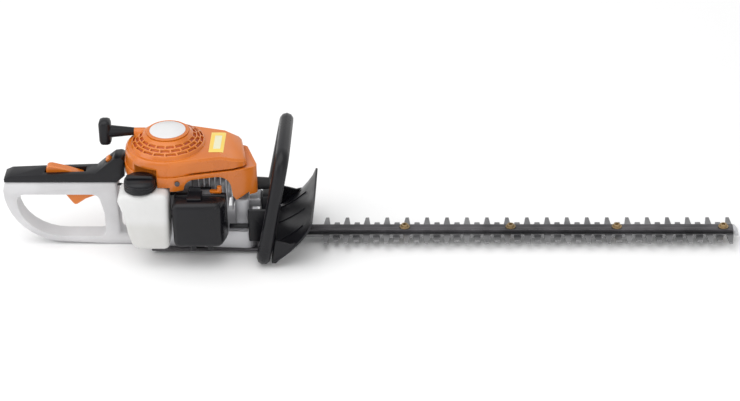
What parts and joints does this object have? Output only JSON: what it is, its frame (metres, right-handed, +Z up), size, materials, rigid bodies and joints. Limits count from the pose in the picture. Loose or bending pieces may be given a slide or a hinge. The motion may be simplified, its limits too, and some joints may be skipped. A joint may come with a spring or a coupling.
{
  "type": "hedge trimmer",
  "caption": "Petrol hedge trimmer with a double-sided reciprocating blade, guide bar, hand guard, front loop handle, recoil starter, fuel tank and rear grip with trigger.",
  "frame": {"origin": "middle of the overall length and width, on the floor that the machine stands on", "axes": "+X along the blades towards their tip, +Y to the left of the operator who looks along +X, +Z up"},
  "size_m": [1.092, 0.1852, 0.1933],
  "materials": {
    "av_buffer_1": "matt",
    "av_buffer_2": "matt",
    "bar_bolt_1": "plated",
    "bar_bolt_2": "plated",
    "bar_bolt_3": "plated",
    "bar_bolt_4": "plated",
    "base_plate": "blackened",
    "carburettor": "as cast",
    "choke_lever": "semi-gloss",
    "clutch_drum": "blackened",
    "clutch_hub": "ground",
    "clutch_shoe_1": "blackened",
    "clutch_shoe_2": "blackened",
    "connecting_rod": "ground",
    "cover_badge": "gloss",
    "cover_screw": "blackened",
    "crank_pin": "ground",
    "crankcase": "as cast",
    "cylinder": "as cast",
    "drive_gear": "ground",
    "engine_shroud": "semi-gloss",
    "filler_cap": "satin",
    "filter_base": "satin",
    "filter_cover": "satin",
    "filter_element": "matt",
    "filter_latch": "satin",
    "flywheel": "as cast",
    "front_handle": "satin",
    "fuel_hose": "matt",
    "fuel_tank": "translucent satin",
    "gear_housing": "as cast",
    "grip_cover": "satin",
    "guide_bar": "blackened",
    "hand_guard": "satin",
    "ignition_lead": "matt",
    "ignition_module": "satin",
    "intake_flange": "satin",
    "lockout_lever": "semi-gloss",
    "lower_blade": "ground",
    "lower_crank": "ground",
    "muffler": "blackened",
    "muffler_guard": "satin",
    "piston": "as cast",
    "plug_boot": "matt",
    "primer_bulb": "matt",
    "rear_handle": "satin",
    "recoil_spring": "blackened",
    "rope_pulley": "satin",
    "spark_plug": "ground",
    "starter_cover": "semi-gloss",
    "starter_grip": "matt",
    "starter_rope": "braided",
    "stay_rod": "satin",
    "stop_switch": "semi-gloss",
    "throttle_cable": "matt",
    "throttle_trigger": "semi-gloss",
    "tip_guard": "as cast",
    "upper_blade": "ground",
    "upper_crank": "ground",
    "wrist_pin": "ground"
  },
  "bodies": {
    "frame": {"av_buffer_1": "av_buffer_1", "av_buffer_2": "av_buffer_2", "bar_bolt_1": "bar_bolt_1", "bar_bolt_2": "bar_bolt_2", "bar_bolt_3": "bar_bolt_3", "bar_bolt_4": "bar_bolt_4", "base_plate": "base_plate", "carburettor": "carburettor", "cover_badge": "cover_badge", "cover_screw": "cover_screw", "crankcase": "crankcase", "cylinder": "cylinder", "engine_shroud": "engine_shroud", "filter_base": "filter_base", "filter_element": "filter_element", "front_handle": "front_handle", "fuel_hose": "fuel_hose", "fuel_tank": "fuel_tank", "gear_housing": "gear_housing", "grip_cover": "grip_cover", "guide_bar": "guide_bar", "hand_guard": "hand_guard", "ignition_lead": "ignition_lead", "ignition_module": "ignition_module", "intake_flange": "intake_flange", "muffler": "muffler", "muffler_guard": "muffler_guard", "plug_boot": "plug_boot", "rear_handle": "rear_handle", "recoil_spring": "recoil_spring", "spark_plug": "spark_plug", "starter_cover": "starter_cover", "stay_rod": "stay_rod", "throttle_cable": "throttle_cable", "tip_guard": "tip_guard"},
    "blade_upper": {"upper_blade": "upper_blade"},
    "blade_lower": {"lower_blade": "lower_blade"},
    "gear": {"drive_gear": "drive_gear"},
    "drum": {"clutch_drum": "clutch_drum"},
    "crank": {"lower_crank": "lower_crank", "upper_crank": "upper_crank", "flywheel": "flywheel", "clutch_hub": "clutch_hub"},
    "shoe_1": {"clutch_shoe_1": "clutch_shoe_1"},
    "shoe_2": {"clutch_shoe_2": "clutch_shoe_2"},
    "piston_set": {"crank_pin": "crank_pin", "connecting_rod": "connecting_rod", "wrist_pin": "wrist_pin", "piston": "piston"},
    "trigger": {"throttle_trigger": "throttle_trigger"},
    "lockout": {"lockout_lever": "lockout_lever"},
    "switch": {"stop_switch": "stop_switch"},
    "cap": {"filler_cap": "filler_cap"},
    "starter_pull": {"starter_grip": "starter_grip", "starter_rope": "starter_rope"},
    "pulley": {"rope_pulley": "rope_pulley"},
    "air_cover": {"filter_cover": "filter_cover"},
    "latch": {"filter_latch": "filter_latch"},
    "choke": {"choke_lever": "choke_lever"},
    "primer": {"primer_bulb": "primer_bulb"}
  },
  "joints": [
    {"name": "upper_blade_stroke", "type": "slide", "parent": "frame", "child": "blade_upper", "axis": [1, 0, 0], "range_m": [-0.015, 0]},
    {"name": "lower_blade_stroke", "type": "slide", "parent": "frame", "child": "blade_lower", "axis": [1, 0, 0], "range_m": [0, 0.015]},
    {"name": "drive_gear_spin", "type": "hinge", "parent": "frame", "child": "gear", "pos_m": [-0.254, 0, 0.0225], "axis": [0, 0, 1], "continuous": true},
    {"name": "clutch_drum_spin", "type": "hinge", "parent": "frame", "child": "drum", "pos_m": [-0.296, 0, 0.04], "axis": [0, 0, 1], "continuous": true},
    {"name": "crankshaft_spin", "type": "hinge", "parent": "frame", "child": "crank", "pos_m": [-0.296, 0, 0.097], "axis": [0, 0, 1], "continuous": true},
    {"name": "clutch_shoe_1_slide", "type": "slide", "parent": "crank", "child": "shoe_1", "axis": [1, 0, 0], "range_m": [0, 0.0012], "stiffness_N_per_m": 2000},
    {"name": "clutch_shoe_2_slide", "type": "slide", "parent": "crank", "child": "shoe_2", "axis": [-1, 0, 0], "range_m": [0, 0.0012], "stiffness_N_per_m": 2000},
    {"name": "piston_stroke", "type": "slide", "parent": "frame", "child": "piston_set", "axis": [1, 0, 0], "range_m": [0, 0.028]},
    {"name": "trigger_squeeze", "type": "hinge", "parent": "frame", "child": "trigger", "pos_m": [-0.407, 0, 0.0965], "axis": [0, 1, 0], "range_deg": [0, 12], "stiffness_Nm_per_rad": 0.8, "springref_deg": -11.46},
    {"name": "lockout_press", "type": "hinge", "parent": "frame", "child": "lockout", "pos_m": [-0.428, 0, 0.1125], "axis": [0, -1, 0], "range_deg": [0, 8], "stiffness_Nm_per_rad": 0.6, "springref_deg": -17.19},
    {"name": "stop_switch_slide", "type": "slide", "parent": "frame", "child": "switch", "axis": [0.7849, 0, 0.6196], "range_m": [-0.0025, 0.0025]},
    {"name": "filler_cap_turn", "type": "hinge", "parent": "frame", "child": "cap", "pos_m": [-0.333, -0.066, 0.1253], "axis": [0, 0, 1], "range_deg": [0, 90]},
    {"name": "starter_pull", "type": "slide", "parent": "frame", "child": "starter_pull", "axis": [-1, 0, 0], "range_m": [0, 0.07], "stiffness_N_per_m": 60, "springref_m": -0.1},
    {"name": "pulley_turn", "type": "hinge", "parent": "frame", "child": "pulley", "pos_m": [-0.296, 0, 0.1733], "axis": [0, 0, 1], "range_deg": [0, 187]},
    {"name": "air_cover_pull", "type": "slide", "parent": "frame", "child": "air_cover", "axis": [0, -1, 0], "range_m": [0, 0.04]},
    {"name": "latch_lift", "type": "hinge", "parent": "air_cover", "child": "latch", "pos_m": [-0.2545, -0.0769, 0.113], "axis": [1, 0, 0], "range_deg": [0, 20], "stiffness_Nm_per_rad": 0.2, "springref_deg": -5.73},
    {"name": "choke_turn", "type": "hinge", "parent": "frame", "child": "choke", "pos_m": [-0.23, -0.0519, 0.111], "axis": [0, 0, 1], "range_deg": [0, 60]},
    {"name": "primer_press", "type": "slide", "parent": "frame", "child": "primer", "axis": [1, 0, 0], "range_m": [0, 0.002], "stiffness_N_per_m": 800}
  ],
  "couplings": [
    {"joint": "lower_blade_stroke", "follows": "upper_blade_stroke", "ratio": -1},
    {"joint": "clutch_drum_spin", "follows": "drive_gear_spin", "ratio": -3.6667},
    {"joint": "pulley_turn", "follows": "starter_pull", "rad_per_m": 46.512}
  ]
}
